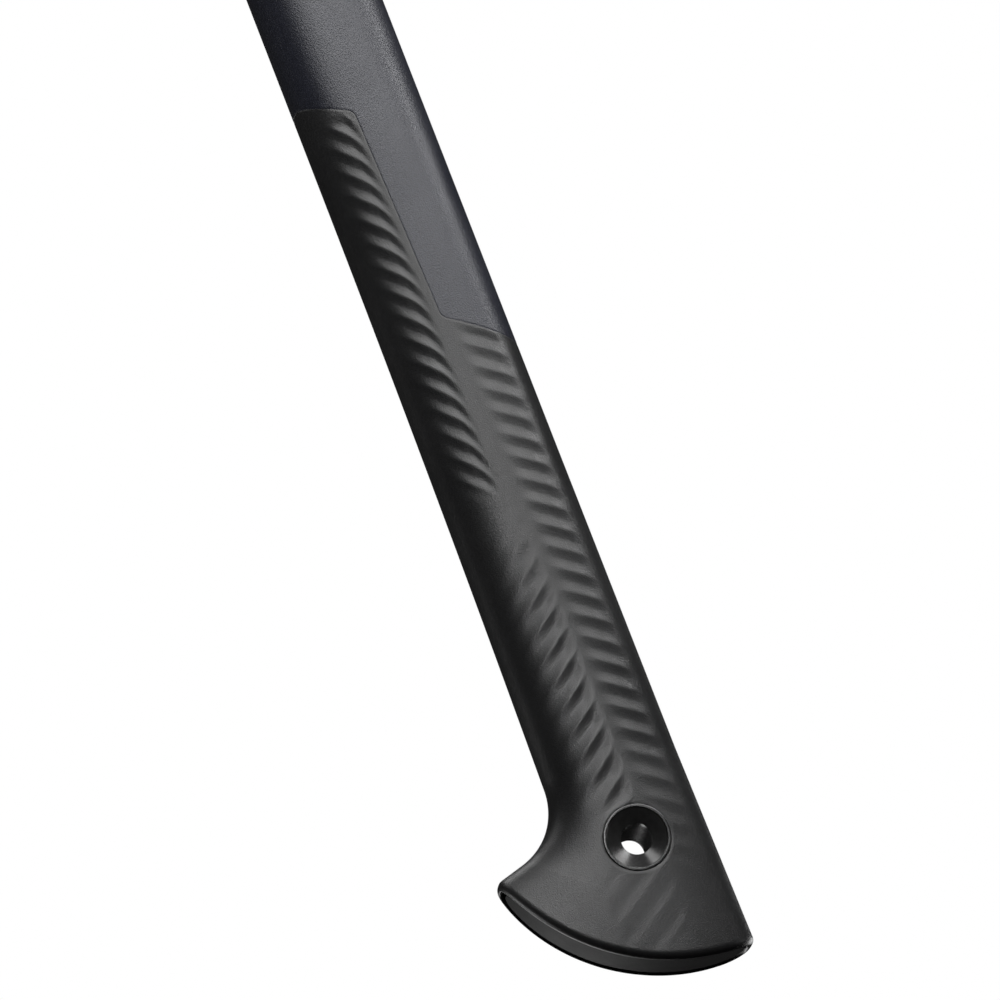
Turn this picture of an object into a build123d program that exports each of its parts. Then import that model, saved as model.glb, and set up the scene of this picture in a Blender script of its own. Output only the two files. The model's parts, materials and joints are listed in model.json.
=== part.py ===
"""Splitting maul: a forged head bonded to a dual-layer composite handle. Lengths are in millimetres.

Frame: the origin is on the head's underside, on the handle's axis, where the maul hangs on a rack.
+Z runs up through the head, +X points to the cutting edge, and Y is across the cheeks.
Heights along the handle are measured up from the lowest point of the butt.
"""

import os
from math import copysign, cos, pi, radians, sin

from build123d import *

# Overall
OVERALL_LENGTH = 914.0
HEAD_TOE_Z = 75.0
BUTT_Z = HEAD_TOE_Z - OVERALL_LENGTH

# Head, seen from above
POLL_X = -75.0
POLL_HALF_WIDTH = 26.0
POLL_NECK_X = -46.0
POLL_NECK_HALF_WIDTH = 24.5
CHEEK_HALF_WIDTH = 32.5
CHEEK_BACK_X = -6.0
CHEEK_FRONT_X = 9.0
MID_BLADE_X = 52.0
MID_BLADE_HALF_WIDTH = 15.5
BEVEL_X = 93.0
BEVEL_HALF_WIDTH = 5.4
EDGE_X = 112.0
EDGE_HALF_WIDTH = 0.4

# Head, seen from the side
HEAD_TOP = 66.0
EDGE_CENTRE_Z = 33.0
EDGE_RADIUS = 230.0
EDGE_HALF_HEIGHT = HEAD_TOE_Z - EDGE_CENTRE_Z
BLADE_SWING = 24.0
FLARE_START_X = 44.0
POLL_CORNER = 10.0
POLL_CORNER_RUN = 0.29
POLL_FACE_BEVEL = 3.5
POLL_FLARE_SLOPE = 0.08
BLADE_ROOT_X = -10.0
BEVEL_ENTRY_SLOPE = -0.17
TOP_FLARE_SLOPE = 0.22
LOW_FLARE_SLOPE = 0.26
OUTLINE_MARGIN = 5.0

# Eye, waisted so that the bond can't pull through either way
EYE_EXPONENT = 2.2
EYE_MOUTH = (19.5, 15.0)
EYE_WAIST = (17.2, 12.7)
EYE_WAIST_Z = 33.0
CAP_THICKNESS = 5.0
CAP_RECESS = 0.6
SEAL_THICKNESS = 3.0
GUARD_POCKET = (25.0, 20.5)
GUARD_POCKET_DEPTH = 2.0

# Core, with its isolation sleeve and plug
CORE = (12.0, 8.0)
SLEEVE_WALL = 2.2
SLEEVE_BELOW_HEAD = 40.0
CORE_END_HEIGHT = 92.0
PLUG_COVER = 14.0
PLUG_FLOOR = 10.0

# Handle
SHAFT_EXPONENT = 2.5
BUTT_EXPONENT = 3.0
OVAL_POINTS = 20
SHAFT_FRONT = 17.5
SHAFT_BACK = 18.0
BACK_SLACK = (150.0, 300.0)
BACK_SLACK_DEPTH = 0.3
SHAFT_HALF_THICKNESS = 13.8
NECK_START = 560.0
NECK_HALF_DEPTH = 22.5
NECK_HALF_THICKNESS = 18.0
SWELL_START = 240.0
GUARD_LENGTH = 118.0
GUARD_FLANGE_HEIGHT = 8.0
GUARD_FLANGE = (24.7, 20.2)
GUARD_BED_TOP = (20.0, 15.5)
GUARD_BED_LOW = (17.2, 12.9)
NECK_TOP = GUARD_POCKET_DEPTH + 8.0

# Hooked butt
HOOK_RADIUS = 19.4
HOOK_CENTRE = (38.9, 61.0)
HOOK_TURN = 73.5
HOOK_START_X = HOOK_CENTRE[0] - HOOK_RADIUS
HOOK_BACK_START = 58.0
HOOK_LEAD = 12.0
HOOK_STEPS = 6
STATION_PITCH = 38.0
BUTT_HALF_THICKNESS = 14.2
BUTT_HEEL_X = -18.8
HEEL_DROP = 6.0
OVERRUN_STEPS = 3
TIP_OVERRUN = 4.8
HEEL_OVERRUN = 12.5
BUTT_RADIUS = 57.6
BUTT_CENTRE = (-12.85, 57.6)
BUTT_EDGE_RADIUS = 2.2
CORNER_RADIUS = 1.8
HEEL_CORNER = (-18.8, 0.35, 0.0)
TIP_CORNER = (41.95, 39.85, 163.5)

# Grip, with the corners of its stepped seam as x and height, and the hollow butt
GRIP_WALL = 2.2
SEAM = [(-40.0, 166.0), (0.8, 192.3), (2.8, 256.6), (40.0, 276.0)]
SEAM_CORNER_RADIUS = 3.0
SHELL_WALL = 2.2
PLUG_BACKING = 6.0
CAVITY_TOP = CORE_END_HEIGHT - PLUG_FLOOR - PLUG_BACKING
BUTT_CAP_THICKNESS = 4.0
BUTT_CAP_RECESS = 0.5
CAP_CLEARANCE = 0.05
TONGUE_HALF_WIDTH = 9.5
TONGUE_HALF_THICKNESS = 3.0
TONGUE_TOP = 50.0

# Lanyard eyelet
EYELET_X = 2.6
EYELET_HEIGHT = 37.2
EYELET_BORE = 4.3
EYELET_MOUTH = 8.3
EYELET_FLANGE = 9.1
EYELET_FACE = 14.0
FLANGE_THICKNESS = 1.2
EYELET_HUB = 7.2
FUNNEL_DEPTH = 2.0
HUB_END = 8.6
BARREL = 5.8
BARREL_END = 10.0

REACH = 80.0


def point(x, height, y=0.0):
    """A point from its x and its height above the butt."""
    return Vector(x, y, BUTT_Z + height)


def oval(front, back, half_thickness, exponent, inset=0.0):
    """A superelliptic wire across the handle, from its front point to its back point."""
    centre = (front + back) * 0.5
    along = (front - back).normalized()
    half_depth = (front - back).length / 2 - inset
    half_width = half_thickness - inset
    points = []
    for i in range(OVAL_POINTS):
        angle = 2 * pi * i / OVAL_POINTS
        u = copysign(abs(cos(angle)) ** (2 / exponent), cos(angle)) * half_depth
        v = copysign(abs(sin(angle)) ** (2 / exponent), sin(angle)) * half_width
        points.append(centre + along * u + Vector(0, v, 0))
    return Wire(Edge.make_spline(points, periodic=True))


def level_oval(half_sizes, z, grow=0.0):
    """A level oval around the handle's axis."""
    front = Vector(half_sizes[0] + grow, 0, z)
    back = Vector(-half_sizes[0] - grow, 0, z)
    return oval(front, back, half_sizes[1] + grow, EYE_EXPONENT)


def oval_bar(half_sizes, z_low, z_high, grow=0.0, top_sizes=None):
    """A straight oval bar between two levels, or a taper if top_sizes differ."""
    wires = [level_oval(half_sizes, z_low, grow), level_oval(top_sizes or half_sizes, z_high, grow)]
    return Solid.make_loft(wires, ruled=True)


def level_box(z_low, z_high):
    """A box wider than the whole maul between two levels."""
    return Pos(0, 0, (z_low + z_high) / 2) * Box(4 * REACH, 2 * REACH, z_high - z_low)


# ---------------------------------------------------------------- handle outline


def straight_station(height):
    """Front point, back point, half thickness and exponent at a height on the straight part."""
    neck = max(0.0, (height - NECK_START) / (-BUTT_Z - NECK_START)) ** 2
    swell = max(0.0, (SWELL_START - height) / (SWELL_START - HOOK_CENTRE[1])) ** 2
    slack = min(1.0, max(0.0, (height - BACK_SLACK[0]) / (BACK_SLACK[1] - BACK_SLACK[0])))
    front = SHAFT_FRONT + swell * (HOOK_START_X - SHAFT_FRONT) + neck * (NECK_HALF_DEPTH - SHAFT_FRONT)
    back = SHAFT_BACK + slack * BACK_SLACK_DEPTH
    back += neck * (NECK_HALF_DEPTH - back)
    half = SHAFT_HALF_THICKNESS + neck * (NECK_HALF_THICKNESS - SHAFT_HALF_THICKNESS)
    return (point(front, height), point(-back, height), half, SHAFT_EXPONENT)


def straight_stations(top):
    """The straight part's stations, from a height down to the hook."""
    low = HOOK_CENTRE[1] + HOOK_LEAD
    steps = max(2, round((top - low) / STATION_PITCH))
    return [straight_station(top + (low - top) * i / steps) for i in range(steps + 1)]


def hook_stations():
    """The same round the hook, where the sections fan out to meet the slanted butt."""
    rows = []
    for i in range(HOOK_STEPS + 1):
        share = i / HOOK_STEPS
        a = radians(HOOK_TURN) * share
        front = point(HOOK_CENTRE[0] - HOOK_RADIUS * cos(a), HOOK_CENTRE[1] - HOOK_RADIUS * sin(a))
        back_height = HOOK_BACK_START - share * (HOOK_BACK_START + HEEL_DROP)
        back = point(-SHAFT_BACK + share * (BUTT_HEEL_X + SHAFT_BACK), back_height)
        half = SHAFT_HALF_THICKNESS + share * (BUTT_HALF_THICKNESS - SHAFT_HALF_THICKNESS)
        exponent = SHAFT_EXPONENT + share * (BUTT_EXPONENT - SHAFT_EXPONENT)
        rows.append((front, back, half, exponent))
    slide = Vector(cos(radians(HOOK_TURN - 90)), 0, sin(radians(HOOK_TURN - 90)))
    for step in range(1, OVERRUN_STEPS + 1):
        front = rows[HOOK_STEPS][0] + slide * TIP_OVERRUN * step
        back = rows[HOOK_STEPS][1] + Vector(0, 0, -HEEL_OVERRUN) * step
        rows.append((front, back, BUTT_HALF_THICKNESS, BUTT_EXPONENT))
    return rows


def handle_loft(inset=0.0, top=NECK_TOP - BUTT_Z):
    """The handle below a height, drawn in by inset all round and still running past the butt."""
    stations = straight_stations(top) + hook_stations()
    return Solid.make_loft([oval(f, b, t, n, inset) for f, b, t, n in stations])


def above_butt(shrink=0.0):
    """Everything above the slanted, curved butt face, raised by shrink."""
    centre = point(*BUTT_CENTRE)
    drum = Rot(90, 0, 0) * Cylinder(BUTT_RADIUS - shrink, 2 * BUTT_HALF_THICKNESS + 0.2)
    if shrink == 0.0:
        drum = fillet(drum.edges().filter_by(GeomType.CIRCLE), BUTT_EDGE_RADIUS)
    upper = Pos(0, 0, centre.Z + OVERALL_LENGTH / 2) * Box(4 * REACH, 2 * REACH, OVERALL_LENGTH)
    return Pos(centre.X, 0, centre.Z) * drum + upper


def corner_trim(x, height, turn):
    """What a rounded corner of the handle's side outline takes away, turn being its first edge's angle."""
    keep = Pos(CORNER_RADIUS, CORNER_RADIUS) * Circle(CORNER_RADIUS)
    quarter = Pos(-1, -1) * Rectangle(CORNER_RADIUS + 1, CORNER_RADIUS + 1, align=(Align.MIN, Align.MIN))
    corner = quarter - keep
    along = (cos(radians(turn)), 0, sin(radians(turn)))
    upright = Plane(origin=point(x, height), x_dir=along, z_dir=(0, -1, 0))
    return extrude(upright * corner, REACH, both=True)


def grip_side():
    """Everything in front of and below the grip's stepped seam."""
    corners = [(point(x, h).X, point(x, h).Z) for x, h in SEAM]
    line = Polyline(*corners, (2 * REACH, corners[-1][1]), (2 * REACH, -OVERALL_LENGTH - REACH),
                    (-2 * REACH, -OVERALL_LENGTH - REACH), (-2 * REACH, corners[0][1]), close=True)
    flat = make_face(line)
    steps = flat.vertices().sort_by_distance((corners[1][0], corners[1][1], 0))[:1]
    steps += flat.vertices().sort_by_distance((corners[2][0], corners[2][1], 0))[:1]
    flat = fillet(steps, SEAM_CORNER_RADIUS)
    upright = Plane(origin=(0, 0, 0), x_dir=(1, 0, 0), z_dir=(0, -1, 0)) * flat
    return extrude(upright, REACH, both=True)


# ---------------------------------------------------------------- head


def side_outline():
    """The head seen from the side: flat above and below, flaring to the toes of the edge."""
    behind = POLL_X - OUTLINE_MARGIN
    top_toe = (EDGE_X + 2.0, HEAD_TOE_Z)
    low_toe = (EDGE_X + 2.0, EDGE_CENTRE_Z - EDGE_HALF_HEIGHT)
    outline = Line((behind, 0), (behind, HEAD_TOP)) + Line((behind, HEAD_TOP), (FLARE_START_X, HEAD_TOP))
    outline += Spline((FLARE_START_X, HEAD_TOP), top_toe, tangents=[(1, 0), (1, TOP_FLARE_SLOPE)])
    outline += Line(top_toe, low_toe)
    outline += Spline(low_toe, (FLARE_START_X, 0), tangents=[(-1, LOW_FLARE_SLOPE), (-1, 0)])
    outline += Line((FLARE_START_X, 0), (behind, 0))
    upright = Plane(origin=(0, 0, 0), x_dir=(1, 0, 0), z_dir=(0, -1, 0)) * make_face(outline)
    return extrude(upright, REACH, both=True)


def blade():
    """The wedge, turned about the centre of the edge's arc so that the ground bevel follows the edge."""
    front = (CHEEK_FRONT_X, CHEEK_HALF_WIDTH)
    bevel = (BEVEL_X, BEVEL_HALF_WIDTH)
    edge = (EDGE_X, EDGE_HALF_WIDTH)
    middle = (MID_BLADE_X, MID_BLADE_HALF_WIDTH)
    outline = Line((BLADE_ROOT_X, 0), (BLADE_ROOT_X, CHEEK_HALF_WIDTH))
    outline += Line((BLADE_ROOT_X, CHEEK_HALF_WIDTH), front)
    outline += Spline(front, middle, bevel, tangents=[(1, 0), (1, BEVEL_ENTRY_SLOPE)])
    outline += Line(bevel, edge) + Line(edge, (EDGE_X, 0)) + Line((EDGE_X, 0), (BLADE_ROOT_X, 0))
    half = Pos(0, 0, EDGE_CENTRE_Z) * make_face(outline)
    pivot = Axis((EDGE_X - EDGE_RADIUS, 0, EDGE_CENTRE_Z), (0, 1, 0))
    wedge = revolve(half.rotate(pivot, BLADE_SWING), pivot, -2 * BLADE_SWING)
    ahead = Pos(REACH, 0, EDGE_CENTRE_Z) * Box(2 * REACH, 2 * REACH, 2 * REACH)
    return (wedge + mirror(wedge, Plane.XZ)) & ahead


def poll():
    """The striking end: waisted behind the cheeks, with its long corners hewn to an octagonal face."""
    cheek = (CHEEK_BACK_X, CHEEK_HALF_WIDTH)
    face = (POLL_X, POLL_HALF_WIDTH)
    outline = Line((0, 0), (0, CHEEK_HALF_WIDTH)) + Line((0, CHEEK_HALF_WIDTH), cheek)
    neck = (POLL_NECK_X, POLL_NECK_HALF_WIDTH)
    outline += Spline(cheek, neck, face, tangents=[(-1, 0), (-1, POLL_FLARE_SLOPE)])
    outline += Line(face, (POLL_X, 0)) + Line((POLL_X, 0), (0, 0))
    half = extrude(make_face(outline), HEAD_TOP)
    solid = half + mirror(half, Plane.XZ)
    for side in (1, -1):
        for low in (1, -1):
            corner = (POLL_X, side * (POLL_HALF_WIDTH - POLL_CORNER), 0 if low == 1 else HEAD_TOP)
            outward = Plane(origin=corner, z_dir=(-POLL_CORNER_RUN, side, -low))
            solid -= outward * (Pos(0, 0, REACH / 2) * Box(4 * REACH, 4 * REACH, REACH))
    corner_reach = (POLL_HALF_WIDTH - POLL_CORNER + HEAD_TOP / 2) * sin(pi / 4)
    for i in range(8):
        across = Vector(0, cos(i * pi / 4), sin(i * pi / 4))
        face_reach = corner_reach if i % 2 else (POLL_HALF_WIDTH, HEAD_TOP / 2)[i // 2 % 2]
        start = Vector(POLL_X, 0, HEAD_TOP / 2) + across * (face_reach - POLL_FACE_BEVEL)
        outward = Plane(origin=start, z_dir=across - Vector(1, 0, 0))
        solid -= outward * (Pos(0, 0, REACH / 2) * Box(4 * REACH, 4 * REACH, REACH))
    return solid


def eye():
    """The waisted oval hole through the head."""
    levels = [(EYE_MOUTH, 0.0), (EYE_WAIST, EYE_WAIST_Z), (EYE_MOUTH, HEAD_TOP)]
    return Solid.make_loft([level_oval(half, z) for half, z in levels], ruled=True)


def head():
    """The forged head, with a pocket below the eye for the guard's flange."""
    solid = (blade() + poll()) & side_outline()
    solid -= eye()
    solid -= oval_bar(GUARD_POCKET, -REACH, GUARD_POCKET_DEPTH)
    return solid


# ---------------------------------------------------------------- inside the eye


def eye_cap():
    """The cap that closes the eye's top mouth, a little below the head's top."""
    top = HEAD_TOP - CAP_RECESS
    return eye() & level_box(top - CAP_THICKNESS, top)


def eye_epoxy():
    """The cast bond between the eye's wall and the sleeve, from the seal up to the cap."""
    low = GUARD_POCKET_DEPTH + SEAL_THICKNESS
    high = HEAD_TOP - CAP_RECESS - CAP_THICKNESS
    return (eye() & level_box(low, high)) - oval_bar(CORE, low - 1, high + 1, SLEEVE_WALL)


def eye_seal():
    """The ring that keeps the resin from running out of the eye while it cures."""
    low = GUARD_POCKET_DEPTH
    high = low + SEAL_THICKNESS
    return (eye() & level_box(low, high)) - oval_bar(CORE, low - 1, high + 1, SLEEVE_WALL)


def isolation_sleeve():
    """The elastomer tube around the core, through the eye and down into the jacket's neck."""
    low = -SLEEVE_BELOW_HEAD
    high = HEAD_TOP - CAP_RECESS - CAP_THICKNESS
    return oval_bar(CORE, low, high, SLEEVE_WALL) - oval_bar(CORE, low - 1, high + 1)


def handle_core():
    """The pultruded glass-fibre rod, from the cap down to the plug."""
    return oval_bar(CORE, BUTT_Z + CORE_END_HEIGHT, HEAD_TOP - CAP_RECESS - CAP_THICKNESS)


def core_plug():
    """The cup around the core's lower end."""
    low = BUTT_Z + CORE_END_HEIGHT - PLUG_FLOOR
    high = BUTT_Z + CORE_END_HEIGHT + PLUG_COVER
    return oval_bar(CORE, low, high, SLEEVE_WALL) - oval_bar(CORE, BUTT_Z + CORE_END_HEIGHT, high + 1)


# ---------------------------------------------------------------- handle


def along_y(radius, y_low, y_high, far_radius=None):
    """A round bar or cone along the eyelet's axis, far_radius being its radius at y_high."""
    place = Pos(EYELET_X, (y_low + y_high) / 2, BUTT_Z + EYELET_HEIGHT) * Rot(-90, 0, 0)
    length = y_high - y_low
    if far_radius is None:
        return place * Cylinder(radius, length)
    return place * Cone(radius, far_radius, length)


def eyelet_half(barrel_radius, barrel_end):
    """One flanged funnel of the eyelet on the +Y side, with what it sends through the handle."""
    flange = along_y(EYELET_FLANGE, EYELET_FACE - FLANGE_THICKNESS, EYELET_FACE)
    hub = along_y(EYELET_HUB, HUB_END, EYELET_FACE - FLANGE_THICKNESS)
    solid = flange + hub
    if barrel_radius > 0:
        solid += along_y(barrel_radius, barrel_end, HUB_END)
    solid -= along_y(EYELET_BORE, -REACH, REACH)
    solid -= along_y(EYELET_BORE, EYELET_FACE - FUNNEL_DEPTH, EYELET_FACE, EYELET_MOUTH)
    return solid


def eyelet_front():
    """The near funnel with the barrel that runs through the handle."""
    return eyelet_half(BARREL, -BARREL_END)


def eyelet_back():
    """The far funnel, whose hub takes the barrel's end."""
    return mirror(eyelet_half(0, 0), Plane.XZ) - along_y(BARREL, -BARREL_END, 0)


def eyelet_room():
    """The room that both eyelet halves fill, bore and funnels included."""
    room = along_y(BARREL, -HUB_END, HUB_END)
    for side in (1, -1):
        hub = along_y(EYELET_HUB, HUB_END, REACH)
        flange = along_y(EYELET_FLANGE, EYELET_FACE - FLANGE_THICKNESS, REACH)
        ring = hub + flange
        room += ring if side == 1 else mirror(ring, Plane.XZ)
    return room


def guard_bed():
    """The neck of the jacket that the guard is moulded onto."""
    return oval_bar(GUARD_BED_LOW, -GUARD_LENGTH, GUARD_POCKET_DEPTH, top_sizes=GUARD_BED_TOP)


def handle_pieces():
    """Jacket, grip and butt cap, cut from one outline so that they meet without a gap."""
    outer = handle_loft() & above_butt()
    outer -= corner_trim(*HEEL_CORNER)
    outer -= corner_trim(*TIP_CORNER)
    grip_bed = handle_loft(GRIP_WALL)
    below = level_box(BUTT_Z - REACH, BUTT_Z + CAVITY_TOP)
    hollow = handle_loft(GRIP_WALL + SHELL_WALL) & below
    plug = handle_loft(GRIP_WALL + SHELL_WALL + CAP_CLEARANCE) & below
    room = eyelet_room()
    side = grip_side()

    grip = ((outer & side) - grip_bed) - room
    neck = level_box(-GUARD_LENGTH, NECK_TOP)
    shell = outer - (side - grip_bed)
    shell -= hollow
    shell -= room
    shell -= neck - guard_bed()
    shell -= level_box(GUARD_POCKET_DEPTH, REACH)
    shell -= oval_bar(CORE, -SLEEVE_BELOW_HEAD, REACH, SLEEVE_WALL)
    shell -= oval_bar(CORE, BUTT_Z + CAVITY_TOP - 1, REACH)
    shell -= oval_bar(CORE, BUTT_Z + CAVITY_TOP - 1, BUTT_Z + CORE_END_HEIGHT + PLUG_COVER, SLEEVE_WALL)

    plate = (plug & above_butt(BUTT_CAP_RECESS)) - above_butt(BUTT_CAP_RECESS + BUTT_CAP_THICKNESS)
    tongue_size = (2 * TONGUE_HALF_WIDTH, 2 * TONGUE_HALF_THICKNESS, TONGUE_TOP)
    tongue = Pos(EYELET_X, 0, BUTT_Z + TONGUE_TOP / 2) * Box(*tongue_size)
    cap = plate + (tongue & above_butt(BUTT_CAP_RECESS + BUTT_CAP_THICKNESS / 2))
    cap -= along_y(BARREL, -REACH, REACH)
    return shell, grip, cap


def overstrike_guard():
    """The elastomer collar around the neck, its flange tucked into the head's pocket."""
    collar = handle_loft() & level_box(-GUARD_LENGTH, GUARD_POCKET_DEPTH)
    collar += oval_bar(GUARD_FLANGE, -GUARD_FLANGE_HEIGHT, GUARD_POCKET_DEPTH)
    return collar - guard_bed()


def pieces():
    """Every piece by its node name."""
    shell, grip, cap = handle_pieces()
    return {
        "maul_head": head(),
        "eye_cap": eye_cap(),
        "eye_epoxy": eye_epoxy(),
        "eye_seal": eye_seal(),
        "isolation_sleeve": isolation_sleeve(),
        "handle_core": handle_core(),
        "core_plug": core_plug(),
        "handle_shell": shell,
        "overstrike_guard": overstrike_guard(),
        "grip_overmould": grip,
        "butt_cap": cap,
        "eyelet_front": eyelet_front(),
        "eyelet_back": eyelet_back(),
    }


if __name__ == "__main__":
    os.makedirs("parts", exist_ok=True)
    for node, solid in pieces().items():
        export_step(solid, f"parts/{node}.step")
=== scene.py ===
"""Splitting maul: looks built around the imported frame. Metres, in the part's own frame, built at rest."""

import json
import math

import bmesh
import bpy
import numpy as np
from mathutils import Matrix, Vector

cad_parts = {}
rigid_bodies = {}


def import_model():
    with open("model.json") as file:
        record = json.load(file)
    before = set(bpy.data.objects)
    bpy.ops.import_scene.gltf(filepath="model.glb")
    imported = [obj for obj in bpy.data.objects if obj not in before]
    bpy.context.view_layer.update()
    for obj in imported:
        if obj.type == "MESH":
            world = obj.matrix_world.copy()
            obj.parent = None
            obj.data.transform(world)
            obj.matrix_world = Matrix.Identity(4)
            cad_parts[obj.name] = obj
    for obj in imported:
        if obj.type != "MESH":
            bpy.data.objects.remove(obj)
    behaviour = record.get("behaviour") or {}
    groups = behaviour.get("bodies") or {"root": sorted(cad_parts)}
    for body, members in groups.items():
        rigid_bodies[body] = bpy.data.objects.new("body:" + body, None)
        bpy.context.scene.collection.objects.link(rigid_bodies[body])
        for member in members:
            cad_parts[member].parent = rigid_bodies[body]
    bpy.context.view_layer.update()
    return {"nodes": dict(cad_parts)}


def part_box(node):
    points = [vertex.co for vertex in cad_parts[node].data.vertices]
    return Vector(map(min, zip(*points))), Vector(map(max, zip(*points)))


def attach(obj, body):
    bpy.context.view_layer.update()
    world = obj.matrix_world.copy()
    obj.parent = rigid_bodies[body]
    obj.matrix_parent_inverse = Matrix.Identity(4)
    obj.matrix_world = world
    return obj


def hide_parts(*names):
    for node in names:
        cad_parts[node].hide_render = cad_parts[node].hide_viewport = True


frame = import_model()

MM = 0.001
NODES = frame["nodes"]
BUTT_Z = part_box("handle_shell")[0].z / MM

# ------------------------------------------------------------------ the handle's outline, in millimetres
# Heights are measured up from the butt's lowest point.

SHAFT_EXPONENT = 2.5
BUTT_EXPONENT = 3.0
SHAFT_FRONT = 17.5
SHAFT_BACK = 18.0
BACK_SLACK = (150.0, 300.0)
BACK_SLACK_DEPTH = 0.3
SHAFT_HALF = 13.8
SWELL_START = 240.0
NECK_START = 560.0
NECK_HALF_DEPTH = 22.5
NECK_HALF_THICKNESS = 18.0
GUARD_LENGTH = 118.0
HOOK_RADIUS = 19.4
HOOK_CENTRE = (38.9, 61.0)
HOOK_TURN = math.radians(73.5)
HOOK_ARC = HOOK_RADIUS * HOOK_TURN
HOOK_LEAD = 12.0
HOOK_BACK_START = 58.0
BUTT_HALF = 14.2
BUTT_HEEL_X = -18.8
HEEL_DROP = 6.0
TIP_OVERRUN = 4.8
HEEL_OVERRUN = 12.5
BUTT_RADIUS = 57.6
BUTT_CENTRE = np.array([-12.85, 57.6])
RIM_RADIUS = 2.2
GRIP_WALL = 2.2
STRAIGHT_END = HOOK_CENTRE[1] + HOOK_LEAD

# the stepped seam as x and height, and its rounded corners
SEAM = ((-40.0, 166.0), (0.8, 192.3), (2.8, 256.6), (40.0, 276.0))
SEAM_CORNER = 3.0

EYE_X, EYE_H = 2.6, 37.2
EYELET_HOLE = 9.12
EYELET_DIP = 0.14
EYELET_DIP_WIDTH = 0.5
# the relief fades in over this width outside the eyelet's opening
EYELET_FADE = 1.5
# vertices this near the opening's edge, outside and inside, are moved on to it
SNAP_OUT, SNAP_IN = 0.16, 0.20
OPENING_MARGIN = 0.02
JACKET_WALL = 2.0
# the visual grip's wall is this much thinner than the CAD one
GRIP_WALL_SLACK = 0.1
# the jacket_root's mesh counts, how far it reaches up inside the jacket, and where along the hook it ends
ROOT_COLUMNS = 161
ROOT_ROWS = 240
ROOT_HOOK_ROWS = 90
ROOT_OVERLAP = 4.0
ROOT_END = 0.985
# how deep it lies below the handle's outline, and its wall
ROOT_INSET = 2.7
ROOT_WALL = 1.6


def straight_section(h):
    """Front x, back x and half thickness of the straight part at heights h."""
    swell = np.maximum(0, (SWELL_START - h) / (SWELL_START - HOOK_CENTRE[1])) ** 2
    slack = np.clip((h - BACK_SLACK[0]) / (BACK_SLACK[1] - BACK_SLACK[0]), 0, 1)
    neck = np.maximum(0, (h - NECK_START) / (-BUTT_Z - NECK_START)) ** 2
    front = SHAFT_FRONT + swell * (HOOK_CENTRE[0] - HOOK_RADIUS - SHAFT_FRONT)
    front = front + neck * (NECK_HALF_DEPTH - SHAFT_FRONT)
    back = SHAFT_BACK + slack * BACK_SLACK_DEPTH
    back = back + neck * (NECK_HALF_DEPTH - back)
    return front, -back, SHAFT_HALF + neck * (NECK_HALF_THICKNESS - SHAFT_HALF)


def section(t):
    """Front and back points (x, height), half thickness and exponent at run t.

    Run 0 is the end of the straight part, and the run grows towards the butt.
    """
    t = np.asarray(t, float)
    h = STRAIGHT_END - np.minimum(t, HOOK_LEAD)
    front_x, back_x, base = straight_section(h)
    lead = np.clip(t / HOOK_LEAD, 0, 1)
    share = np.clip((t - HOOK_LEAD) / HOOK_ARC, 0, 1)
    over = np.maximum(0, t - HOOK_LEAD - HOOK_ARC)
    a = share * HOOK_TURN
    arc_x = HOOK_CENTRE[0] - HOOK_RADIUS * np.cos(a) + over * math.sin(HOOK_TURN)
    arc_h = HOOK_CENTRE[1] - HOOK_RADIUS * np.sin(a) - over * math.cos(HOOK_TURN)
    hooked = t > HOOK_LEAD
    fx = np.where(hooked, arc_x, front_x)
    fh = np.where(hooked, arc_h, h)
    back_start = STRAIGHT_END + (HOOK_BACK_START - STRAIGHT_END) * lead
    back_h = np.where(t > 0, back_start - share * (HOOK_BACK_START + HEEL_DROP), STRAIGHT_END - t)
    back_h = back_h - over / TIP_OVERRUN * HEEL_OVERRUN
    bx = np.where(hooked, -SHAFT_BACK + share * (BUTT_HEEL_X + SHAFT_BACK), back_x)
    half = base + share * (BUTT_HALF - base)
    exponent = SHAFT_EXPONENT + share * (BUTT_EXPONENT - SHAFT_EXPONENT)
    return fx, fh, bx, back_h, half, exponent


def skin(t, angle, inset=0.0):
    """Points (x, y, height) of the handle's surface at run t and angle: 0 is the front and pi the back."""
    fx, fh, bx, bh, half, n = section(t)
    depth = np.hypot(fx - bx, fh - bh)
    ux, uh = (fx - bx) / depth, (fh - bh) / depth
    c, s = np.cos(angle), np.sin(angle)
    u = np.sign(c) * np.abs(c) ** (2 / n) * (depth / 2 - inset)
    v = np.sign(s) * np.abs(s) ** (2 / n) * (half - inset)
    return np.stack([(fx + bx) / 2 + ux * u, v, (fh + bh) / 2 + uh * u], -1)


def skin_normals(t, angle):
    """Outward unit normals of the same points, by small differences."""
    d = 1e-3
    along = skin(t + d, angle) - skin(t - d, angle)
    round_ = skin(t, angle + d) - skin(t, angle - d)
    n = np.cross(round_, along)
    size = np.linalg.norm(n, axis=-1, keepdims=True)
    n = n / np.maximum(size, 1e-12)
    centre = skin(t, angle) * 0
    fx, fh, bx, bh, _, _ = section(t)
    centre[..., 0] = (fx + bx) / 2
    centre[..., 2] = (fh + bh) / 2
    flip = np.sign(((skin(t, angle) - centre) * n).sum(-1, keepdims=True))
    return n * np.where(flip == 0, 1, flip)


# ------------------------------------------------------------------ the grip's seam and relief


CORNER_STEPS = 8


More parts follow.
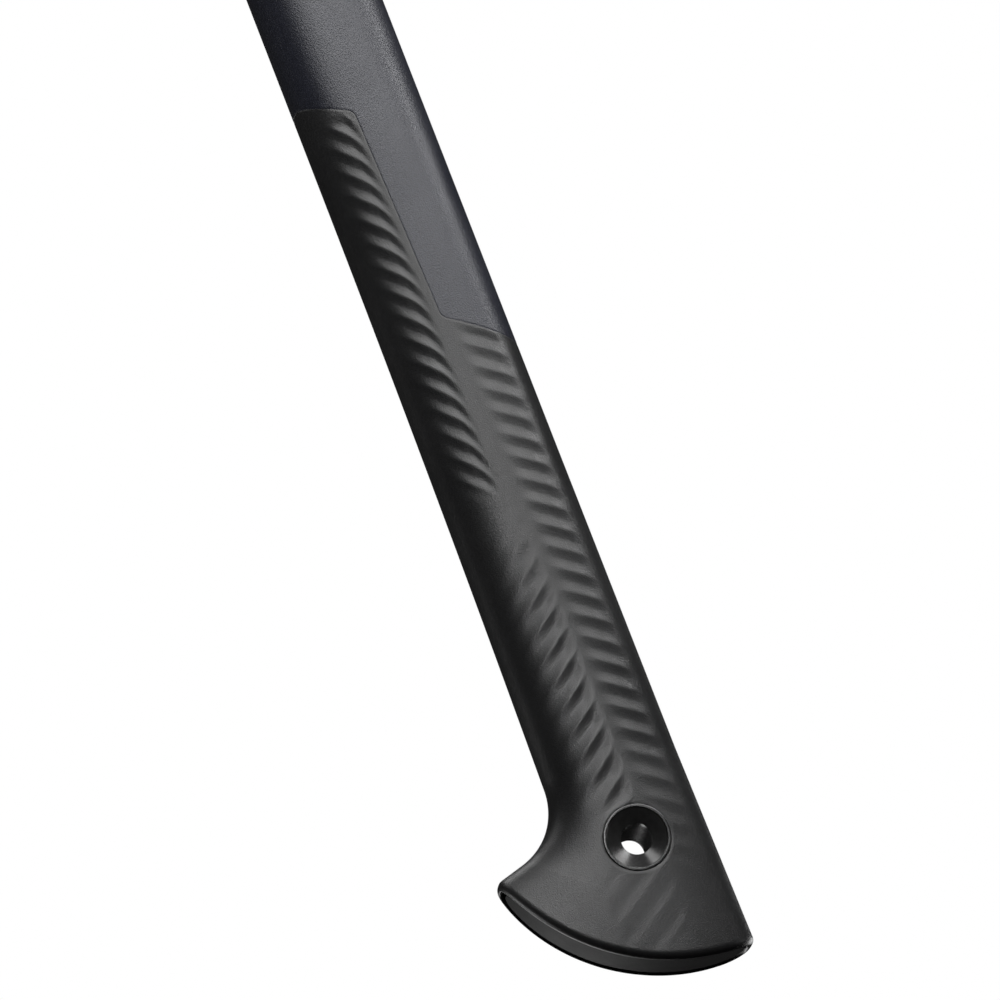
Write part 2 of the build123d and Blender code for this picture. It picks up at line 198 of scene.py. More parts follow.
def seam_line():
    """The seam as a fine line of (x, height) points, its two corners rounded."""
    pts = [np.array(p) for p in SEAM]
    line = [pts[0]]
    for before, corner, after in zip(pts, pts[1:], pts[2:]):
        a = (before - corner) / np.linalg.norm(before - corner)
        b = (after - corner) / np.linalg.norm(after - corner)
        half = math.acos(float(a @ b)) / 2
        reach = SEAM_CORNER / math.tan(half)
        middle = corner + (a + b) / np.linalg.norm(a + b) * SEAM_CORNER / math.sin(half)
        start, end = corner + a * reach - middle, corner + b * reach - middle
        for k in range(CORNER_STEPS + 1):
            arm = start * (1 - k / CORNER_STEPS) + end * (k / CORNER_STEPS)
            line.append(middle + arm / np.linalg.norm(arm) * SEAM_CORNER)
    line.append(pts[3])
    return np.array(line)


SEAM_LINE = seam_line()


def seam_x(h):
    """The seam's x at height h; the grip is everything in front of it."""
    return np.interp(h, SEAM_LINE[:, 1], SEAM_LINE[:, 0])


def seam_distance(x, h):
    """Distance from the seam in the side view."""
    p = np.stack([x, h], -1)
    best = np.full(x.shape, 1e9)
    for a, b in zip(SEAM_LINE, SEAM_LINE[1:]):
        ab = b - a
        k = np.clip(((p - a) @ ab) / (ab @ ab), 0, 1)
        best = np.minimum(best, np.linalg.norm(p - a - k[..., None] * ab, axis=-1))
    return best


def smooth(low, high, v):
    """0 below low, 1 above high, smooth between; low may be the larger."""
    k = np.clip((v - low) / (high - low), 0, 1)
    return k * k * (3 - 2 * k)


# the grip's four fields of relief: how far apart the dishes are and how deep they are
RIDGE_SOFTNESS = 0.10
UPPER_PITCH, UPPER_DEPTH = 7.28, 0.37
BACK_PITCH, BACK_DEPTH = 6.76, 0.32
FRONT_PITCH, FRONT_DEPTH = 7.15, 0.50
FLARE_PITCH, FLARE_DEPTH = 8.1, 0.14
# how much the dishes of each field drop for each millimetre away from the spine
BACK_SLOPE, FRONT_SLOPE, FLARE_SLOPE = 0.62, 0.72, 0.67
# the leaves of the upper column, which curl along the smooth strip
LEAF_CURL = 0.13
LEAF_CURL_START = 7.4
LEAF_FRONT = 12.0


def dishes(phase):
    """Shallow dishes side by side with a soft ridge at each whole number: 0 at the ridges, 1 mid-dish."""
    k = phase - np.floor(phase)
    away = 0.5 - np.abs(k - 0.5)
    away = np.sqrt(away ** 2 + RIDGE_SOFTNESS ** 2) - RIDGE_SOFTNESS
    return 1 - (1 - 2 * away) ** 2


def relief(x, h):
    """How far the grip is cut in below its outline, in millimetres."""
    # upper front column: leaves that run down from the front and curl along the smooth strip
    drop = LEAF_FRONT - x + LEAF_CURL * np.maximum(0, LEAF_CURL_START - x) ** 2
    upper = dishes((h + drop - 256.0) / UPPER_PITCH)
    upper = upper * smooth(15.5, 9.0, x) * smooth(2.6, 6.4, x)
    upper = upper * smooth(259.0, 254.0, h + 0.25 * (x - 4))
    upper = upper * smooth(137.0, 145.0, h - 0.4 * (x - 4))
    # back column: from the spine down towards the back edge
    drop = BACK_SLOPE * (-1.2 - x)
    back = dishes((h + drop - 190.6) / BACK_PITCH)
    back = back * smooth(-0.6, -6.2, x) * smooth(-14.6, -10.0, x) * smooth(14.0, 80.0, h)
    back = back * smooth(193.0, 189.0, h + BACK_SLOPE * (0.8 - x))
    # lower front column: the chevron's other half
    drop = FRONT_SLOPE * (x + 1.0)
    front = dishes((h + drop - 134.6) / FRONT_PITCH)
    front = front * smooth(-1.6, 2.8, x) * smooth(15.0, 5.0, x)
    front = front * smooth(138.0, 100.0, h) * smooth(40.0, 54.0, h)
    # faint bands across the flare
    step = (h + FLARE_SLOPE * x - 43.0) / FLARE_PITCH
    k = step - np.floor(step)
    flare = (1 - k) * smooth(0.0, 0.45, k)
    flare = flare * smooth(-3.5, 0.5, x) * smooth(19.0, 13.0, x)
    flare = flare * smooth(42.0, 33.0, h + FLARE_SLOPE * x)
    flare = flare * smooth(5.0, 12.0, h + 0.3 * x)
    return UPPER_DEPTH * upper + BACK_DEPTH * back + FRONT_DEPTH * front + FLARE_DEPTH * flare


# ------------------------------------------------------------------ meshes


def face_outward(bm):
    """Turns an open skin round the handle so that its normals point away from the handle's middle."""
    total = 0.0
    for f in bm.faces:
        c = f.calc_center_median()
        total += f.normal.y * c.y * f.calc_area()
    if total < 0:
        bmesh.ops.reverse_faces(bm, faces=bm.faces)


def grid_object(name, points, closed_round=False):
    """A mesh over a grid of points in millimetres (rows, columns, 3), with coincident points welded."""
    rows, cols, _ = points.shape
    mesh = bpy.data.meshes.new(name)
    index = np.arange(rows * cols).reshape(rows, cols)
    a, b, c, d = index[:-1, :-1], index[:-1, 1:], index[1:, 1:], index[1:, :-1]
    faces = np.stack([a, b, c, d], -1).reshape(-1, 4)
    if closed_round:
        wrap = np.stack([index[:-1, -1], index[:-1, 0], index[1:, 0], index[1:, -1]], -1)
        faces = np.concatenate([faces, wrap])
    mesh.from_pydata((points.reshape(-1, 3) * MM).tolist(), [], faces.tolist())
    bm = bmesh.new()
    bm.from_mesh(mesh)
    bmesh.ops.remove_doubles(bm, verts=bm.verts, dist=2e-6)
    bmesh.ops.dissolve_degenerate(bm, edges=bm.edges, dist=1e-6)
    bmesh.ops.recalc_face_normals(bm, faces=bm.faces)
    if not closed_round:
        face_outward(bm)
    bm.to_mesh(mesh)
    bm.free()
    mesh.shade_smooth()
    obj = bpy.data.objects.new(name, mesh)
    bpy.context.scene.collection.objects.link(obj)
    return obj


def keep_modifiers(obj):
    """Applies the object's modifiers."""
    graph = bpy.context.evaluated_depsgraph_get()
    mesh = bpy.data.meshes.new_from_object(obj.evaluated_get(graph))
    obj.modifiers.clear()
    obj.data = mesh
    mesh.shade_smooth()


def lathe(name, profile, centre, toward, segments=160):
    """A closed ring turned from a profile of (radius, distance along Y), in millimetres."""
    profile = np.array(profile)
    a = np.linspace(0, 2 * math.pi, segments, endpoint=False)
    x = centre[0] + profile[:, :1] * np.cos(a)
    z = centre[1] + profile[:, :1] * np.sin(a)
    y = np.repeat(profile[:, 1:2] * toward, segments, 1)
    points = np.stack([x, y, z], -1)
    points = np.concatenate([points, points[:1]])
    return grid_object(name, points, closed_round=True)


def rounded(profile, radii, steps=6):
    """A closed profile with its corners rounded by the given radii, 0 keeping a corner sharp."""
    out = []
    n = len(profile)
    for i, radius in enumerate(radii):
        p = np.array(profile[i], float)
        if radius == 0:
            out.append(p)
            continue
        a = np.array(profile[i - 1], float) - p
        b = np.array(profile[(i + 1) % n], float) - p
        a, b = a / np.linalg.norm(a), b / np.linalg.norm(b)
        half = math.acos(max(-1, min(1, float(a @ b)))) / 2
        reach = radius / math.tan(half)
        middle = p + (a + b) / np.linalg.norm(a + b) * radius / math.sin(half)
        start, end = p + a * reach - middle, p + b * reach - middle
        for k in range(steps + 1):
            arm = start * (1 - k / steps) + end * (k / steps)
            out.append(middle + arm / np.linalg.norm(arm) * radius)
    return out


# ring columns, as angles from the front round to the back: close together on the flat sides
FLAT = 0.80
FLAT_COLUMNS = 112
ROUND_COLUMNS = 22


def column_angles():
    """Angles from 0 at the front to pi at the back."""
    edge = math.acos(FLAT ** (SHAFT_EXPONENT / 2))
    round_ = np.linspace(0, edge, ROUND_COLUMNS, endpoint=False)
    u = np.linspace(FLAT, -FLAT, FLAT_COLUMNS)
    flat = np.arccos(np.sign(u) * np.abs(u) ** (SHAFT_EXPONENT / 2))
    return np.concatenate([round_, flat, math.pi - round_[::-1]])


ANGLES = column_angles()
KNOTS = np.linspace(0, 1, len(ANGLES))
ROW_PITCH = 0.36
# the jacket's plain upper part has coarse rows, down to this far above the seam
COARSE_PITCH = 3.0
FINE_MARGIN = 6


def to_row(points):
    """From heights above the butt to the row's z."""
    out = points.copy()
    out[..., 2] += BUTT_Z
    return out


def end_run(angle):
    """The run at which each angle's line meets the start of the butt's rounded rim."""
    low = np.full_like(angle, HOOK_LEAD * 0.5)
    high = np.full_like(angle, HOOK_LEAD + HOOK_ARC + 3 * TIP_OVERRUN)
    for _ in range(40):
        mid = (low + high) / 2
        p = skin(mid, angle)
        out = np.hypot(p[..., 0] - BUTT_CENTRE[0], p[..., 2] - BUTT_CENTRE[1]) - (BUTT_RADIUS - RIM_RADIUS)
        inside = (out < 0) | (p[..., 2] > BUTT_CENTRE[1])
        low = np.where(inside, mid, low)
        high = np.where(inside, high, mid)
    return low


SEAM_TOP = float(np.interp(SHAFT_FRONT, SEAM_LINE[:, 0], SEAM_LINE[:, 1]))
SEAM_LOW = float(np.interp(-SHAFT_BACK, SEAM_LINE[:, 0], SEAM_LINE[:, 1]))
SIDES = np.concatenate([-KNOTS[::-1], KNOTS[1:]])
SEAM_DIP = 0.06
SEAM_DIP_WIDTH = 0.30
HOOK_ROWS = 170
RIM_ROWS = 9


# the groove along the seam fades out and stops this far below the seam's lowest point
SEAM_TAIL = 20.0


def seam_reach(h):
    """Where the seam lies round the section at heights h, from 0 at the front to 1 at the back."""
    front, back, _ = straight_section(h)
    u = np.clip((seam_x(h) - (front + back) / 2) / ((front - back) / 2), -1, 1)
    edge = np.arccos(np.sign(u) * np.abs(u) ** (SHAFT_EXPONENT / 2))
    return np.interp(edge, ANGLES, KNOTS)


def seam_dip(points):
    """The fine groove where jacket and grip meet."""
    gap = seam_distance(points[..., 0], points[..., 2])
    return SEAM_DIP * np.exp(-((gap / SEAM_DIP_WIDTH) ** 2)) * (points[..., 2] > SEAM_LOW - SEAM_TAIL)


def wall(obj, thickness):
    """Gives a skin its wall, inward."""
    solid = obj.modifiers.new("wall", "SOLIDIFY")
    solid.thickness = thickness * MM
    solid.offset = -1
    keep_modifiers(obj)


def grip():
    """The soft grip: its outer face with the relief, the rounded rim, and a wall behind it."""
    h = np.linspace(SEAM_TOP, STRAIGHT_END, int((SEAM_TOP - STRAIGHT_END) / ROW_PITCH))
    k = seam_reach(h)[:, None] * np.abs(SIDES)[None, :]
    angle = np.sign(SIDES)[None, :] * np.interp(k, KNOTS, ANGLES)
    run = np.repeat((STRAIGHT_END - h)[:, None], len(SIDES), 1)
    # the hook: every line runs on to its own end at the butt
    full = np.sign(SIDES) * np.interp(np.abs(SIDES), KNOTS, ANGLES)
    share = np.linspace(0, 1, HOOK_ROWS)[1:, None]
    run = np.concatenate([run, share * end_run(np.abs(full))[None, :]])
    angle = np.concatenate([angle, np.repeat(full[None, :], len(share), 0)])
    points = skin(run, angle)
    normal = skin_normals(run, angle)
    x, height = points[..., 0], points[..., 2]
    ring = np.hypot(x - EYE_X, height - EYE_H)
    depth = relief(x, height) * smooth(EYELET_HOLE, EYELET_HOLE + EYELET_FADE, ring) + seam_dip(points)
    depth = depth + EYELET_DIP * np.exp(-(((ring - EYELET_HOLE) / EYELET_DIP_WIDTH) ** 2))
    points = points - normal * depth[..., None]
    # the rim rolls under to the butt face
    edge_point, inward = points[-1], -normal[-1]
    out = np.zeros_like(edge_point)
    out[:, [0, 2]] = edge_point[:, [0, 2]] - BUTT_CENTRE
    out = out / np.linalg.norm(out, axis=1, keepdims=True)
    down = out - (out * inward).sum(1, keepdims=True) * inward
    down = down / np.linalg.norm(down, axis=1, keepdims=True)
    roll = []
    for i in range(1, RIM_ROWS + 1):
        a = math.pi / 2 * i / RIM_ROWS
        roll.append(edge_point + RIM_RADIUS * (math.sin(a) * down + (1 - math.cos(a)) * inward))
    points = np.concatenate([points, np.array(roll)])
    obj = grid_object("grip", to_row(points))
    open_eyelet(obj)
    wall(obj, GRIP_WALL - GRIP_WALL_SLACK)
    return obj


def jacket():
    """The hard jacket: the shaft below the guard, and the strip behind the grip's seam."""
    top = -BUTT_Z - GUARD_LENGTH
    change = SEAM_TOP + FINE_MARGIN
    coarse = np.arange(top, change, -COARSE_PITCH)
    fine = np.linspace(change, SEAM_LOW, int((change - SEAM_LOW) / ROW_PITCH))
    h = np.concatenate([coarse, fine])
    k = (1 - seam_reach(h))[:, None] * np.abs(SIDES)[None, :]
    angle = math.pi - np.sign(SIDES)[None, :] * np.interp(k, KNOTS, ANGLES)
    run = np.repeat((STRAIGHT_END - h)[:, None], len(SIDES), 1)
    points = skin(run, angle)
    points = points - skin_normals(run, angle) * seam_dip(points)[..., None]
    obj = grid_object("jacket", to_row(points))
    wall(obj, JACKET_WALL)
    return obj


def jacket_root():
    """The jacket's hidden lower part, the bed that the soft grip is moulded over."""
    angle = np.linspace(-math.pi, math.pi, ROOT_COLUMNS)
    h = np.linspace(SEAM_TOP + ROOT_OVERLAP, STRAIGHT_END, ROOT_ROWS)
    straight = np.repeat((STRAIGHT_END - h)[:, None], ROOT_COLUMNS, 1)
    share = np.linspace(0, ROOT_END, ROOT_HOOK_ROWS)[1:, None]
    run = np.concatenate([straight, share * end_run(np.abs(angle))[None, :]])
    obj = grid_object("jacket_root", to_row(skin(run, np.repeat(angle[None, :], len(run), 0), ROOT_INSET)))
    open_eyelet(obj)
    wall(obj, ROOT_WALL)
    return obj


def open_eyelet(obj):
    """Cuts the round opening for the eyelet through both sides."""
    bm = bmesh.new()
    bm.from_mesh(obj.data)
    hole = EYELET_HOLE * MM
    cx, cz = EYE_X * MM, (BUTT_Z + EYE_H) * MM
    inner = []
    for v in bm.verts:
        dx, dz = v.co.x - cx, v.co.z - cz
        r = math.hypot(dx, dz)
        if hole - SNAP_IN * MM < r < hole + SNAP_OUT * MM:
            v.co.x = cx + dx / r * hole
            v.co.z = cz + dz / r * hole
    for f in bm.faces:
        c = f.calc_center_median()
        if math.hypot(c.x - cx, c.z - cz) < hole - OPENING_MARGIN * MM:
            inner.append(f)
    bmesh.ops.delete(bm, geom=inner, context="FACES")
    bm.to_mesh(obj.data)
    bm.free()


def eyelet(name, toward, far):
    """One glossy half of the lanyard eyelet, on the side that toward points to, reaching along Y to far."""
    centre = (EYE_X, BUTT_Z + EYE_H)
    profile = [(9.28, 12.85), (9.28, 14.2), (8.5, 14.2), (8.2, 13.9), (4.3, 12.0), (4.3, far)]
    profile += [(5.7, far), (5.7, 8.7), (7.1, 8.7), (7.1, 12.85)]
    radii = [0, 0.3, 0.2, 0.12, 0.12, 0, 0, 0, 0, 0]
    obj = lathe(name, rounded(profile, radii, 8), centre, toward)
    return obj


# ------------------------------------------------------------------ materials


def new_material(name):
    """A material with its own tree and its principled shader."""
    mat = bpy.data.materials.new(name)
    mat.use_nodes = True
    return mat, mat.node_tree, mat.node_tree.nodes["Principled BSDF"]


def object_place(tree, scale=(1.0, 1.0, 1.0)):
    """The point in the part's own frame, scaled by axis."""
    coord = tree.nodes.new("ShaderNodeTexCoord")
    mapping = tree.nodes.new("ShaderNodeMapping")
    mapping.inputs["Scale"].default_value = scale
    tree.links.new(coord.outputs["Object"], mapping.inputs["Vector"])
    return mapping.outputs["Vector"]


def noise(tree, place, scale, detail=3.0, roughness=0.55):
    """A noise texture's value."""
    node = tree.nodes.new("ShaderNodeTexNoise")
    node.inputs["Scale"].default_value = scale
    node.inputs["Detail"].default_value = detail
    node.inputs["Roughness"].default_value = roughness
    tree.links.new(place, node.inputs["Vector"])
    return node.outputs["Fac"]


def spread(tree, value, low, high, from_low=0.3, from_high=0.7):
    """Maps a value to a range."""
    node = tree.nodes.new("ShaderNodeMapRange")
    node.inputs["From Min"].default_value = from_low
    node.inputs["From Max"].default_value = from_high
    node.inputs["To Min"].default_value = low
    node.inputs["To Max"].default_value = high
    tree.links.new(value, node.inputs["Value"])
    return node.outputs["Result"]


def blend_colours(tree, value, dark, light):
    """A colour between two by a value."""
    node = tree.nodes.new("ShaderNodeMix")
    node.data_type = "RGBA"
    node.inputs["A"].default_value = (*dark, 1)
    node.inputs["B"].default_value = (*light, 1)
    tree.links.new(value, node.inputs["Factor"])
    return node.outputs["Result"]


def bump(tree, shader, heights):
    """Bumps stacked in order, each a (height value, strength, distance in millimetres)."""
    last = None
    for value, strength, distance in heights:
        node = tree.nodes.new("ShaderNodeBump")
        node.inputs["Strength"].default_value = strength
        node.inputs["Distance"].default_value = distance * MM
        tree.links.new(value, node.inputs["Height"])
        if last is not None:
            tree.links.new(last, node.inputs["Normal"])
        last = node.outputs["Normal"]
    tree.links.new(last, shader.inputs["Normal"])


def grained(name, dark, light, rough, grain, grain_depth, specular=0.5, tint=(1.0, 1.0, 1.0)):
    """Moulded black plastic or rubber: a fine grain, slow clouding and a little wear in the gloss."""
    mat, tree, shader = new_material(name)
    place = object_place(tree)
    fine = noise(tree, place, grain, 2.0, 0.5)
    cloud = noise(tree, place, 38.0, 4.0, 0.6)
    speck = noise(tree, place, grain * 0.45, 2.0, 0.6)
    tree.links.new(blend_colours(tree, spread(tree, speck, 0, 1), dark, light), shader.inputs["Base Color"])
    tree.links.new(spread(tree, cloud, rough - 0.035, rough + 0.035), shader.inputs["Roughness"])
    shader.inputs["Specular IOR Level"].default_value = specular
    shader.inputs["Specular Tint"].default_value = (*tint, 1)
    bump(tree, shader, [(cloud, 0.25, 0.05), (fine, 1.0, grain_depth)])
    return mat


# the ground edge: from this far off the arc's centre (x, z), in metres, with a wandering border
BEVEL_START = 0.211
BEVEL_CENTRE = (0.112 - 0.230, 0.033)
BEVEL_WANDER = 0.0008
BEVEL_BORDER = 0.0003


def head_material():
    """Baked dark coat over the forging, and the steel ground bright along the edge."""
    mat, tree, shader = new_material("head_coat")
    place = object_place(tree)
    peel = noise(tree, place, 420.0, 3.0, 0.55)
    scale_pits = noise(tree, place, 90.0, 5.0, 0.6)
    coat = blend_colours(tree, spread(tree, scale_pits, 0, 1), (0.018, 0.019, 0.021), (0.034, 0.035, 0.038))
    # the ground bevel follows the edge's arc about its centre
    split = tree.nodes.new("ShaderNodeSeparateXYZ")
    tree.links.new(place, split.inputs["Vector"])
    radius = arc_distance(tree, split, *BEVEL_CENTRE)
    wander = noise(tree, place, 60.0, 2.0, 0.5)
    edge = tree.nodes.new("ShaderNodeMath")
    edge.operation = "MULTIPLY_ADD"
    tree.links.new(wander, edge.inputs[0])
    edge.inputs[1].default_value = BEVEL_WANDER
    tree.links.new(radius, edge.inputs[2])
    ground = spread(tree, edge.outputs[0], 0, 1, BEVEL_START, BEVEL_START + BEVEL_BORDER)
    brushed = noise(tree, object_place(tree, (300.0, 300.0, 9000.0)), 1.0, 2.0, 0.6)
    steel = blend_colours(tree, spread(tree, brushed, 0, 1), (0.42, 0.43, 0.44), (0.62, 0.63, 0.64))
    mix = tree.nodes.new("ShaderNodeMix")
    mix.data_type = "RGBA"
    tree.links.new(ground, mix.inputs["Factor"])
    tree.links.new(coat, mix.inputs["A"])
    tree.links.new(steel, mix.inputs["B"])
    tree.links.new(mix.outputs["Result"], shader.inputs["Base Color"])
    tree.links.new(ground, shader.inputs["Metallic"])
    tree.links.new(spread(tree, ground, 0.42, 0.27, 0, 1), shader.inputs["Roughness"])
    shader.inputs["Coat Weight"].default_value = 0.12
    shader.inputs["Coat Roughness"].default_value = 0.3
    bump(tree, shader, [(scale_pits, 0.55, 0.35), (peel, 0.6, 0.06), (brushed, 0.25, 0.01)])
    return mat


def arc_distance(tree, split, centre_x, centre_z):
    """Distance from a centre in the side view."""
    parts = []
    for output, centre in (("X", centre_x), ("Z", centre_z)):
        away = tree.nodes.new("ShaderNodeMath")
        away.operation = "SUBTRACT"
        tree.links.new(split.outputs[output], away.inputs[0])
        away.inputs[1].default_value = centre
        square = tree.nodes.new("ShaderNodeMath")
        square.operation = "MULTIPLY"
        tree.links.new(away.outputs[0], square.inputs[0])
        tree.links.new(away.outputs[0], square.inputs[1])
        parts.append(square.outputs[0])
    total = tree.nodes.new("ShaderNodeMath")
    total.operation = "ADD"
    tree.links.new(parts[0], total.inputs[0])
    tree.links.new(parts[1], total.inputs[1])
    root = tree.nodes.new("ShaderNodeMath")
    root.operation = "SQRT"
    tree.links.new(total.outputs[0], root.inputs[0])
    return root.outputs[0]


def fibreglass():
    """Pultruded rod: long pale fibres in amber resin."""
    mat, tree, shader = new_material("core_fibreglass")
    fibres = noise(tree, object_place(tree, (900.0, 900.0, 12.0)), 1.0, 3.0, 0.6)
    colour = blend_colours(tree, spread(tree, fibres, 0, 1), (0.52, 0.45, 0.29), (0.78, 0.73, 0.58))
    tree.links.new(colour, shader.inputs["Base Color"])
    shader.inputs["Roughness"].default_value = 0.35
    bump(tree, shader, [(fibres, 0.5, 0.03)])
    return mat


def resin():
    """Cast amber resin with a few trapped bubbles near the surface."""
    mat, tree, shader = new_material("epoxy")
    place = object_place(tree)
    cloud = noise(tree, place, 120.0, 3.0, 0.5)
    colour = blend_colours(tree, spread(tree, cloud, 0, 1), (0.42, 0.29, 0.10), (0.62, 0.47, 0.22))
    tree.links.new(colour, shader.inputs["Base Color"])
    shader.inputs["Roughness"].default_value = 0.16
    bubbles = tree.nodes.new("ShaderNodeTexVoronoi")
    bubbles.inputs["Scale"].default_value = 260.0
    tree.links.new(place, bubbles.inputs["Vector"])
    bump(tree, shader, [(spread(tree, bubbles.outputs["Distance"], 0, 1, 0.05, 0.25), 0.4, 0.1)])
    return mat


JACKET_DARK, JACKET_LIGHT = (0.007, 0.0075, 0.0115), (0.012, 0.013, 0.020)
JACKET_TINT = (0.97, 0.975, 1.0)
JACKET = grained("jacket_nylon", JACKET_DARK, JACKET_LIGHT, 0.36, 2800.0, 0.09, 0.52, JACKET_TINT)
GRIP = grained("grip_rubber", (0.007, 0.007, 0.0072), (0.012, 0.012, 0.0125), 0.37, 3200.0, 0.06, 0.5)
GUARD = grained("guard_rubber", (0.010, 0.010, 0.011), (0.017, 0.017, 0.018), 0.55, 2300.0, 0.03, 0.45)
SEAL = grained("seal_rubber", (0.045, 0.045, 0.045), (0.07, 0.07, 0.07), 0.62, 2300.0, 0.03, 0.4)
CAP = grained("cap_plastic", (0.003, 0.003, 0.003), (0.006, 0.006, 0.006), 0.6, 2200.0, 0.03, 0.12)
EYELET = grained("eyelet_plastic", (0.008, 0.008, 0.008), (0.013, 0.013, 0.013), 0.22, 1500.0, 0.004, 0.8)
HEAD = head_material()
FIBRE = fibreglass()
RESIN = resin()
FINISHES = {
    "maul_head": HEAD,
    "eye_cap": CAP,
    "eye_epoxy": RESIN,
    "eye_seal": SEAL,
    "isolation_sleeve": SEAL,
    "handle_core": FIBRE,
    "core_plug": SEAL,
    "handle_shell": JACKET,
    "overstrike_guard": GUARD,
    "grip_overmould": GRIP,
    "butt_cap": CAP,
    "eyelet_front": EYELET,
    "eyelet_back": EYELET,
}
for node, finish in FINISHES.items():
    NODES[node].data.materials.clear()
    NODES[node].data.materials.append(finish)


# ------------------------------------------------------------------ pieces

grip_piece = grip()
grip_piece.data.materials.append(GRIP)
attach(grip_piece, "root")
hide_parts("grip_overmould")

for jacket_piece in (jacket(), jacket_root()):
    jacket_piece.data.materials.append(JACKET)
    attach(jacket_piece, "root")
    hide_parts("handle_shell")

# name, side of the handle, how far along Y the half reaches (the near one is the barrel), and the CAD node
for name, toward, far, node in (
    ("eyelet_near", 1, -10.0, "eyelet_front"),
    ("eyelet_far", -1, 10.1, "eyelet_back"),
):
    eyelet_piece = eyelet(name, toward, far)
    eyelet_piece.data.materials.append(EYELET)
    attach(eyelet_piece, "root")
    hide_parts(node)


# ------------------------------------------------------------------ camera, floor and light

CAMERA_AZIMUTH = math.radians(171.2)
CAMERA_ELEVATION = math.radians(-12.8)
CAMERA_LEAN = math.radians(21.26)
CAMERA_DISTANCE = 1.5
TARGET_HEIGHT = 141.0
CAMERA_TARGET = Vector((0.002, 0.0, (BUTT_Z + TARGET_HEIGHT) * MM))
PIXELS_PER_MM = 3.62
FRAME_PIXELS = 1000
SENSOR = 36.0


def camera_axes():
    """Right, up and back directions of the camera."""
    flat = math.cos(CAMERA_ELEVATION)
    away = Vector((math.sin(CAMERA_AZIMUTH), -math.cos(CAMERA_AZIMUTH), 0)) * flat
    back = away + Vector((0, 0, math.sin(CAMERA_ELEVATION)))
    right = (-back).cross(Vector((0, 0, 1))).normalized()
    up = right.cross(-back)
    c, s = math.cos(CAMERA_LEAN), math.sin(CAMERA_LEAN)
    return c * right - s * up, s * right + c * up, back


RIGHT, UP, BACK = camera_axes()


def turned(right, up, back, place):
    """A world matrix from three axes and a place."""
    rows = Matrix((right, up, back)).transposed().to_4x4()
    rows.translation = place
    return rows


lens_data = bpy.data.cameras.new("camera")
lens_data.sensor_width = SENSOR
lens_data.lens = PIXELS_PER_MM * CAMERA_DISTANCE / MM / FRAME_PIXELS * SENSOR
camera = bpy.data.objects.new("camera", lens_data)
bpy.context.scene.collection.objects.link(camera)
camera.matrix_world = turned(RIGHT, UP, BACK, CAMERA_TARGET + BACK * CAMERA_DISTANCE)
bpy.context.scene.camera = camera


def area_lamp(name, power):
    """An area lamp's object and data, with its size and place still to be set."""
    data = bpy.data.lights.new(name, "AREA")
    data.energy = power
    lamp = bpy.data.objects.new(name, data)
    bpy.context.scene.collection.objects.link(lamp)
    return lamp, data


def panel(name, place, size, power, aim):
    """A soft panel. place and aim are right, up and back of the camera's target, in millimetres."""
    start = CAMERA_TARGET + (RIGHT * place[0] + UP * place[1] + BACK * place[2]) * MM
    end = CAMERA_TARGET + (RIGHT * aim[0] + UP * aim[1] + BACK * aim[2]) * MM
    lamp, data = area_lamp(name, power)
    data.shape = "RECTANGLE"
    data.size, data.size_y = size[0] * MM, size[1] * MM
    back = (start - end).normalized()
    right = UP.cross(back).normalized()
    lamp.matrix_world = turned(right, back.cross(right), back, start)


panel("key", (250, 530, 400), (360, 270), 1.95, (0, 60, 0))
panel("low_key", (10, 130, 450), (70, 90), 0.46, (30, -90, 0))
panel("streak", (400, 460, 70), (80, 220), 1.15, (-30, 90, 0))
panel("top", (120, 800, -160), (260, 200), 1.5, (30, -90, 0))
panel("head_light", (-200, 1100, 900), (700, 700), 12.0, (-250, 660, 0))


LOW_PANEL_DISTANCE = 2.0
HEAD_PANEL_SIZE = 0.4
HEAD_MIDDLE = Vector((0.02, 0, 0.04))


def low_panel(name, azimuth, fall, size, power):
    """A soft panel below level, which the handle mirrors to views from above.

    Azimuth 0 is on the -Y side and 90 on the +X side. Both angles are in degrees, the size in metres.
    """
    a, e = math.radians(azimuth), math.radians(-fall)
    aim = Vector((math.sin(a) * math.cos(e), -math.cos(a) * math.cos(e), math.sin(e)))
    lamp, data = area_lamp(name, power)
    data.size = size
    lamp.location = Vector((0, 0, BUTT_Z * MM / 2)) + aim * LOW_PANEL_DISTANCE
    lamp.rotation_euler = aim.to_track_quat("Z", "Y").to_euler()


def head_panel(name, place, power):
    """A soft panel close to the head, which hardly reaches the grip's end. Its place is in metres."""
    lamp, data = area_lamp(name, power)
    data.size = HEAD_PANEL_SIZE
    lamp.location = Vector(place)
    lamp.rotation_euler = (Vector(place) - HEAD_MIDDLE).to_track_quat("Z", "Y").to_euler()


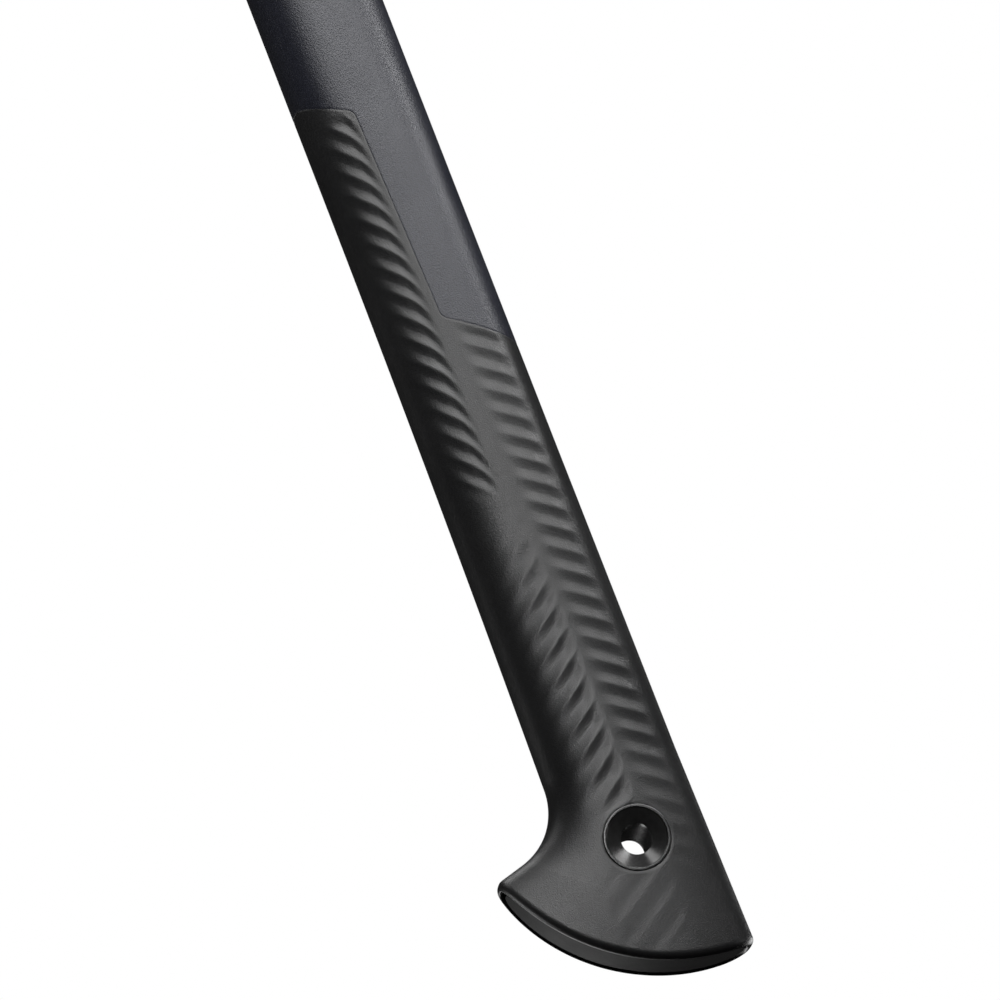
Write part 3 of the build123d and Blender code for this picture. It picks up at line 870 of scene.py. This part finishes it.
head_panel("head_left", (0.15, -0.50, 0.22), 1.8)
head_panel("head_right", (0.15, 0.50, 0.22), 1.8)
head_panel("head_poll", (-0.50, 0.10, 0.20), 1.3)
head_panel("head_edge", (0.58, -0.10, 0.16), 1.3)
low_panel("front_low", 62.0, 22.0, 0.9, 9.0)
low_panel("rear_low", 318.0, 22.0, 0.9, 10.0)
low_panel("side_low", 20.0, 28.0, 0.7, 4.0)
low_panel("back_low", 262.0, 26.0, 0.7, 1.6)
panel("back_light", (700, 1700, -900), (900, 900), 14.0, (-100, 250, 0))
panel("back_fill", (-700, 1700, -900), (700, 700), 8.0, (-100, 250, 0))

for lamp in bpy.context.scene.objects:
    if lamp.type == "LIGHT":
        lamp.visible_camera = False

# A pale floor, below the camera because it looks up at the butt. It glows evenly and lights nothing,
# so the butt's face stays dark.
FLOOR_SIZE = 40.0
FLOOR_DROP = 0.7
bpy.ops.mesh.primitive_plane_add(size=FLOOR_SIZE, location=(0, 0, BUTT_Z * MM - FLOOR_DROP))
floor = bpy.context.active_object
floor.name = "floor"
floor_mat, _, floor_shader = new_material("floor_pale")
floor_shader.inputs["Base Color"].default_value = (0.03, 0.03, 0.03, 1)
floor_shader.inputs["Roughness"].default_value = 1.0
floor_shader.inputs["Specular IOR Level"].default_value = 0.0
floor_shader.inputs["Emission Color"].default_value = (1, 1, 1, 1)
floor_shader.inputs["Emission Strength"].default_value = 0.86
floor.data.materials.append(floor_mat)
floor.visible_diffuse = False
floor.visible_glossy = False

# the studio's white: full white to the camera, dim to everything else
world = bpy.data.worlds.new("studio")
bpy.context.scene.world = world
world.use_nodes = True
world_tree = world.node_tree
world_tree.nodes.clear()
white = world_tree.nodes.new("ShaderNodeBackground")
white.inputs["Color"].default_value = (1, 1, 1, 1)
white.inputs["Strength"].default_value = 1.0
dim = world_tree.nodes.new("ShaderNodeBackground")
dim.inputs["Color"].default_value = (1, 1, 1, 1)
dim.inputs["Strength"].default_value = 0.012
rays = world_tree.nodes.new("ShaderNodeLightPath")
choose = world_tree.nodes.new("ShaderNodeMixShader")
out = world_tree.nodes.new("ShaderNodeOutputWorld")
world_tree.links.new(rays.outputs["Is Camera Ray"], choose.inputs["Fac"])
world_tree.links.new(dim.outputs[0], choose.inputs[1])
world_tree.links.new(white.outputs[0], choose.inputs[2])
world_tree.links.new(choose.outputs[0], out.inputs["Surface"])

bpy.context.scene.view_settings.view_transform = "Standard"
bpy.context.scene.view_settings.look = "None"
